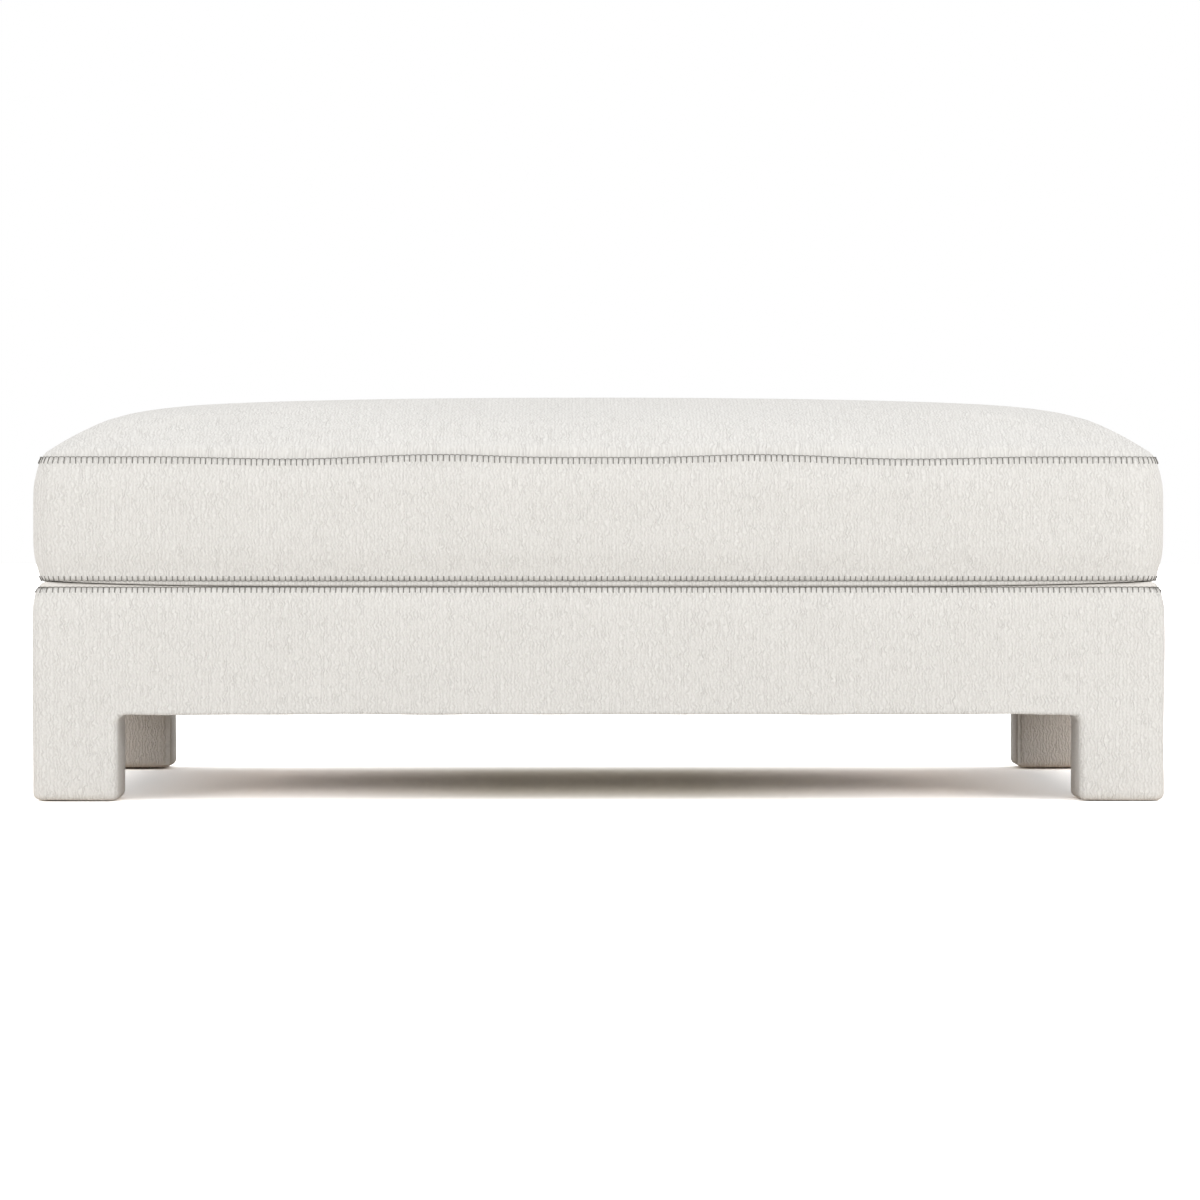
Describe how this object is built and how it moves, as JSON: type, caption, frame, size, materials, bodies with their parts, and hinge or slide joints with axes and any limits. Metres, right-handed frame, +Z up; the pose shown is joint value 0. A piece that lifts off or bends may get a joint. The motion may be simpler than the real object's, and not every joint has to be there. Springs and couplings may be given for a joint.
{
  "type": "ottoman coffee table",
  "caption": "Upholstered ottoman coffee table: padded base on square legs with a loose, crowned, zipped cushion edged in blanket stitch.",
  "frame": {"origin": "on the floor, under the middle of the table", "axes": "+X to the right along the long side, +Y towards the rear with the zipper, +Z up"},
  "size_m": [1.32, 0.864, 0.4815],
  "materials": {
    "cover_fabric": "off-white slub weave",
    "stitch_thread": "grey twisted thread",
    "deck_cloth": "plain off-white lining cloth",
    "dust_cloth": "black non-woven cloth",
    "insulator_felt": "grey pressed felt",
    "fibre_padding": "white fibre wadding",
    "foam": "cream open-cell foam",
    "frame_wood": "planed, unfinished",
    "fastener_steel": "zinc plated",
    "spring_steel": "oiled wire",
    "glide_plastic": "black, satin",
    "zipper_tape": "off-white woven tape",
    "zipper_coil": "off-white nylon",
    "zipper_metal": "nickel plated, satin"
  },
  "bodies": {
    "base": {"front_left_post": "frame_wood", "front_right_post": "frame_wood", "rear_left_post": "frame_wood", "rear_right_post": "frame_wood", "front_left_corner_brace": "frame_wood", "front_right_corner_brace": "frame_wood", "rear_left_corner_brace": "frame_wood", "rear_right_corner_brace": "frame_wood", "front_rail": "frame_wood", "rear_rail": "frame_wood", "left_rail": "frame_wood", "right_rail": "frame_wood", "center_stretcher": "frame_wood", "frame_dowels": "frame_wood", "corner_lag_bolts": "fastener_steel", "corner_brace_screws": "fastener_steel", "stretcher_screws": "fastener_steel", "spring_clips": "fastener_steel", "spring_clip_nails": "fastener_steel", "dust_cover_staples": "fastener_steel", "glide_nails": "fastener_steel", "deck_springs": "spring_steel", "spring_tie_wires": "spring_steel", "front_left_leg_padding": "fibre_padding", "front_right_leg_padding": "fibre_padding", "rear_left_leg_padding": "fibre_padding", "rear_right_leg_padding": "fibre_padding", "front_rail_padding": "fibre_padding", "rear_rail_padding": "fibre_padding", "left_rail_padding": "fibre_padding", "right_rail_padding": "fibre_padding", "deck_pad": "fibre_padding", "front_left_glide": "glide_plastic", "front_right_glide": "glide_plastic", "rear_left_glide": "glide_plastic", "rear_right_glide": "glide_plastic", "deck_insulator": "insulator_felt", "deck_cover": "deck_cloth", "base_cover": "cover_fabric", "base_edge_stitch": "stitch_thread", "dust_cover": "dust_cloth"},
    "cushion": {"foam_core": "foam", "foam_topper": "foam", "fibre_wrap_top": "fibre_padding", "fibre_wrap_bottom": "fibre_padding", "cushion_top_panel": "cover_fabric", "cushion_bottom_panel": "cover_fabric", "cushion_boxing": "cover_fabric", "back_boxing_upper": "cover_fabric", "back_boxing_lower": "cover_fabric", "top_seam_stitch": "stitch_thread", "bottom_seam_stitch": "stitch_thread", "zipper_tape_upper": "zipper_tape", "zipper_tape_lower": "zipper_tape", "zipper_coil_upper": "zipper_coil", "zipper_coil_lower": "zipper_coil", "zipper_stops": "zipper_metal"},
    "slider": {"zipper_slider": "zipper_metal"},
    "pull": {"zipper_pull": "zipper_metal"}
  },
  "joints": [
    {"name": "cushion_lift", "type": "slide", "parent": "base", "child": "cushion", "axis": [0, 0, 1], "range_m": [0, 0.3]},
    {"name": "zipper_slide", "type": "slide", "parent": "cushion", "child": "slider", "axis": [-1, 0, 0], "range_m": [0, 1.085]},
    {"name": "pull_swing", "type": "hinge", "parent": "slider", "child": "pull", "pos_m": [0.5425, 0.42705, 0.33], "axis": [0, 0, -1], "range_deg": [0, 180]}
  ]
}
